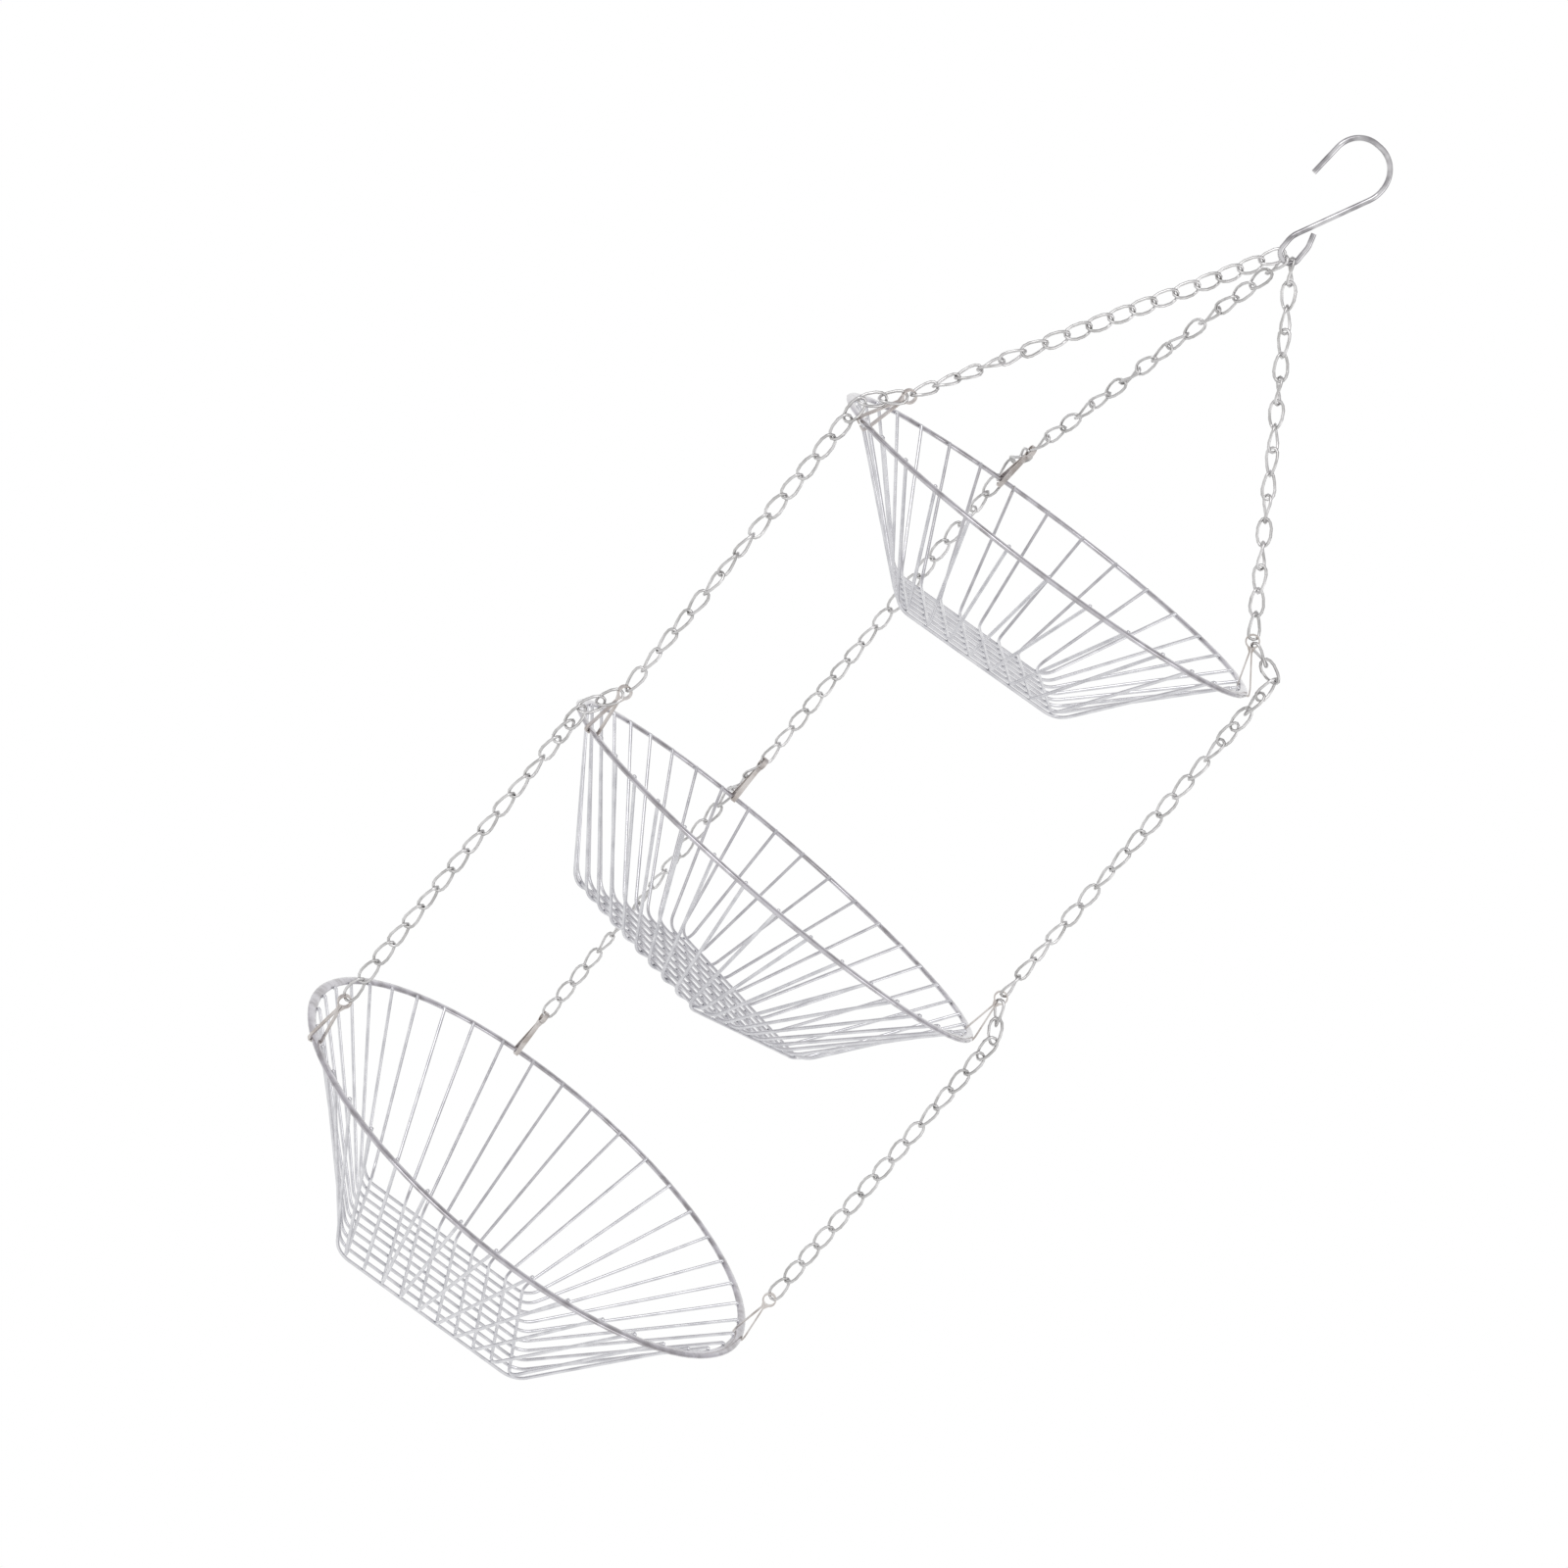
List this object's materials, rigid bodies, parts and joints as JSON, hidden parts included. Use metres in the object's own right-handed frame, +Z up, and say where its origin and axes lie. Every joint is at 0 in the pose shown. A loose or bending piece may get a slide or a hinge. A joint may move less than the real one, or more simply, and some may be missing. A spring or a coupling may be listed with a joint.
{
  "type": "hanging fruit basket",
  "caption": "Tiered hanging fruit basket: round wire bowls clipped to chains below a hook, each bowl larger than the one above and free to sway.",
  "frame": {"origin": "underside of the hook's bend, where it rests on what it hangs from", "axes": "+Z up, the baskets hang down -Z; -Y towards the viewer; the hook lies in the XZ plane"},
  "size_m": [0.3096, 0.3096, 0.8085],
  "materials": {
    "hook": "polished",
    "chain": "polished",
    "clips": "satin",
    "rims": "polished",
    "bowl_wires": "polished"
  },
  "bodies": {
    "hook": {"hook": "hook"},
    "top_tier": {"upper_chain_left": "chain", "upper_chain_back": "chain", "upper_chain_right": "chain", "top_clip_left": "clips", "top_clip_back": "clips", "top_clip_right": "clips", "top_rim": "rims", "top_wires_along": "bowl_wires", "top_wires_across": "bowl_wires"},
    "middle_chain_left": {"middle_chain_left": "chain"},
    "middle_chain_back": {"middle_chain_back": "chain"},
    "middle_chain_right": {"middle_chain_right": "chain"},
    "middle_tier": {"middle_clip_left": "clips", "middle_clip_back": "clips", "middle_clip_right": "clips", "drop_links_left": "chain", "drop_links_back": "chain", "drop_links_right": "chain", "middle_rim": "rims", "middle_wires_along": "bowl_wires", "middle_wires_across": "bowl_wires"},
    "lower_chain_left": {"lower_chain_left": "chain"},
    "lower_chain_back": {"lower_chain_back": "chain"},
    "lower_chain_right": {"lower_chain_right": "chain"},
    "lower_tier": {"bottom_clip_left": "clips", "bottom_clip_back": "clips", "bottom_clip_right": "clips", "bottom_rim": "rims", "bottom_wires_along": "bowl_wires", "bottom_wires_across": "bowl_wires"}
  },
  "joints": [
    {"name": "sway", "type": "hinge", "parent": "hook", "child": "top_tier", "pos_m": [0, 0, -0.0687], "axis": [0, 1, 0], "range_deg": [-18, 18]},
    {"name": "middle_sway", "type": "hinge", "parent": "top_tier", "child": "middle_chain_back", "pos_m": [-0.02136, 0.13979, -0.29383], "axis": [0, 1, 0], "range_deg": [-12, 12]},
    {"name": "middle_sway_left", "type": "hinge", "parent": "top_tier", "child": "middle_chain_left", "pos_m": [-0.13068, -0.04602, -0.2796], "axis": [0, 1, 0], "range_deg": [-12, 12]},
    {"name": "middle_sway_right", "type": "hinge", "parent": "top_tier", "child": "middle_chain_right", "pos_m": [0.13862, -0.0225, -0.28809], "axis": [0, 1, 0], "range_deg": [-12, 12]},
    {"name": "middle_level", "type": "hinge", "parent": "middle_chain_back", "child": "middle_tier", "pos_m": [-0.02136, 0.13979, -0.47653], "axis": [0, 1, 0], "range_deg": [-12, 12]},
    {"name": "lower_sway", "type": "hinge", "parent": "middle_tier", "child": "lower_chain_back", "pos_m": [-0.02386, 0.15063, -0.5043], "axis": [0, 1, 0], "range_deg": [-12, 12]},
    {"name": "lower_sway_left", "type": "hinge", "parent": "middle_tier", "child": "lower_chain_left", "pos_m": [-0.14331, -0.05216, -0.5043], "axis": [0, 1, 0], "range_deg": [-12, 12]},
    {"name": "lower_sway_right", "type": "hinge", "parent": "middle_tier", "child": "lower_chain_right", "pos_m": [0.15019, -0.02648, -0.5043], "axis": [0, 1, 0], "range_deg": [-12, 12]},
    {"name": "lower_level", "type": "hinge", "parent": "lower_chain_back", "child": "lower_tier", "pos_m": [-0.02386, 0.15063, -0.687], "axis": [0, 1, 0], "range_deg": [-12, 12]}
  ],
  "couplings": [
    {"joint": "middle_sway_left", "follows": "middle_sway", "ratio": 1},
    {"joint": "middle_sway_right", "follows": "middle_sway", "ratio": 1},
    {"joint": "middle_level", "follows": "middle_sway", "ratio": -1},
    {"joint": "lower_sway_left", "follows": "lower_sway", "ratio": 1},
    {"joint": "lower_sway_right", "follows": "lower_sway", "ratio": 1},
    {"joint": "lower_level", "follows": "lower_sway", "ratio": -1}
  ]
}
